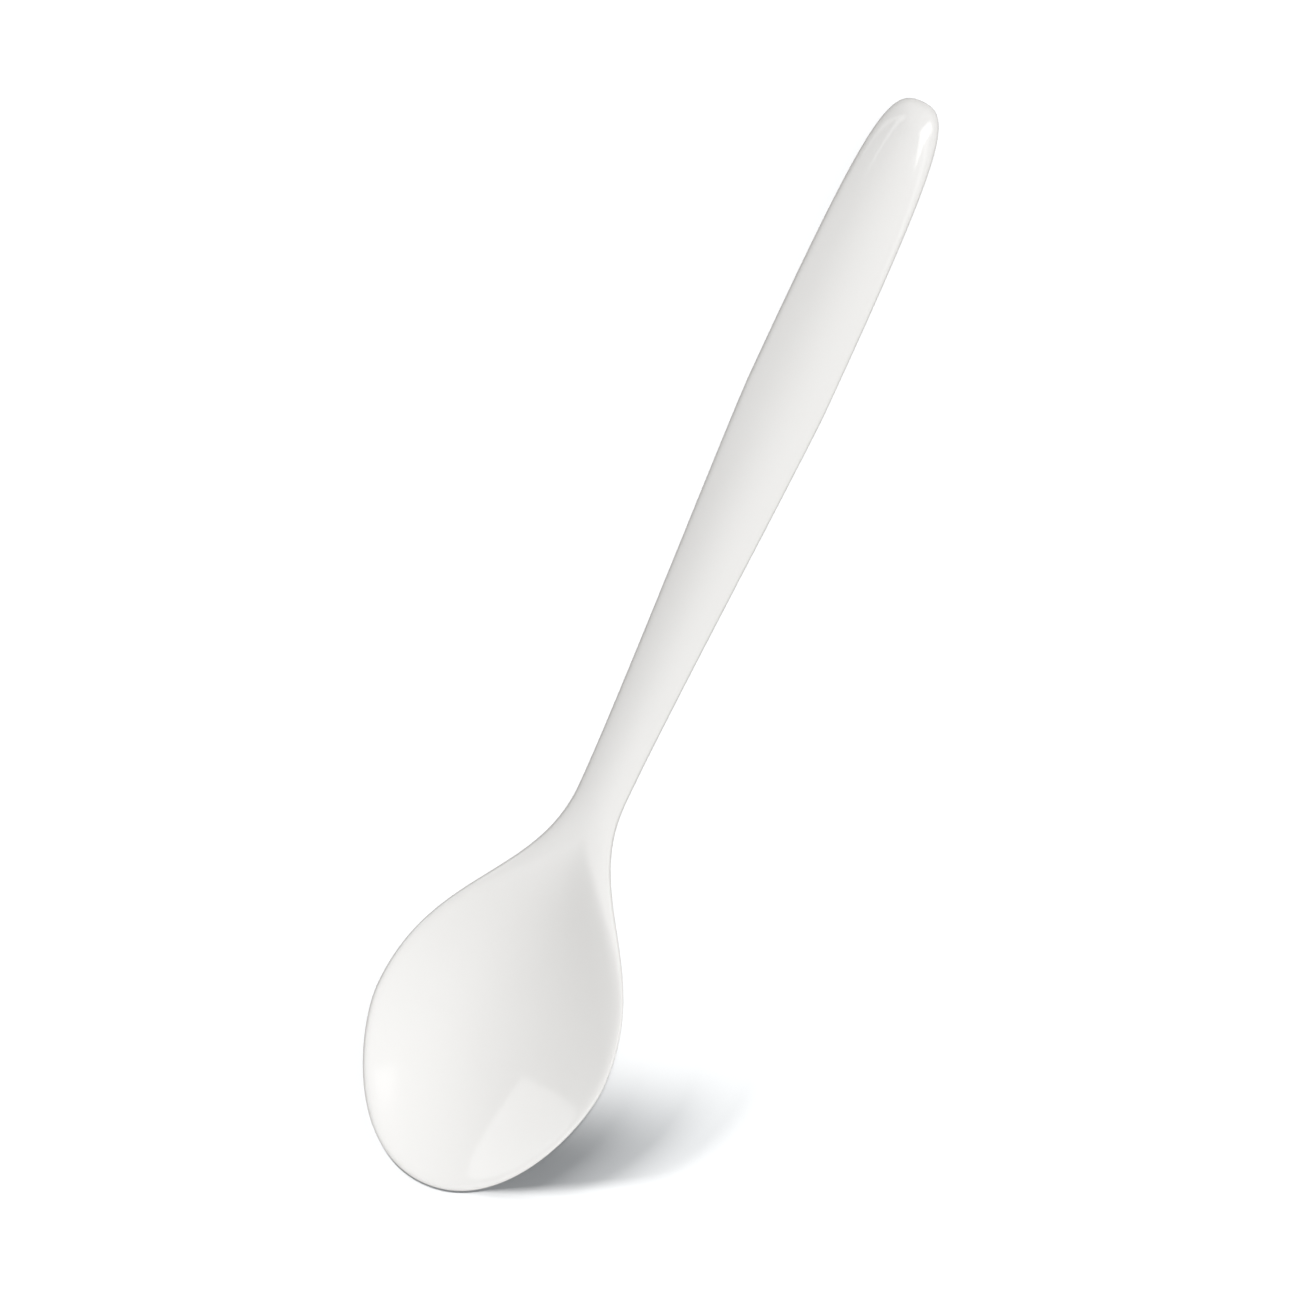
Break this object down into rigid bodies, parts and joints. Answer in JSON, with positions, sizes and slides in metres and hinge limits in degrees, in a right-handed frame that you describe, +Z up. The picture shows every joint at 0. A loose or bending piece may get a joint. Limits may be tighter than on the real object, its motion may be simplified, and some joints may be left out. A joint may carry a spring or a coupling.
{
  "type": "egg spoon",
  "caption": "Small one-piece spoon with an oval bowl, a slim neck and a rounded handle that widens to its end, for eating a boiled egg from the shell.",
  "frame": {"origin": "on the table that the spoon lies on, under the middle of its length and width", "axes": "+X from the tip of the bowl to the end of the handle, +Z up out of the bowl, +Y across"},
  "size_m": [0.13, 0.0272, 0.0123],
  "materials": {
    "white_melamine": "glossy, slightly warm white"
  },
  "bodies": {
    "root": {"spoon": "white_melamine"}
  },
  "joints": []
}
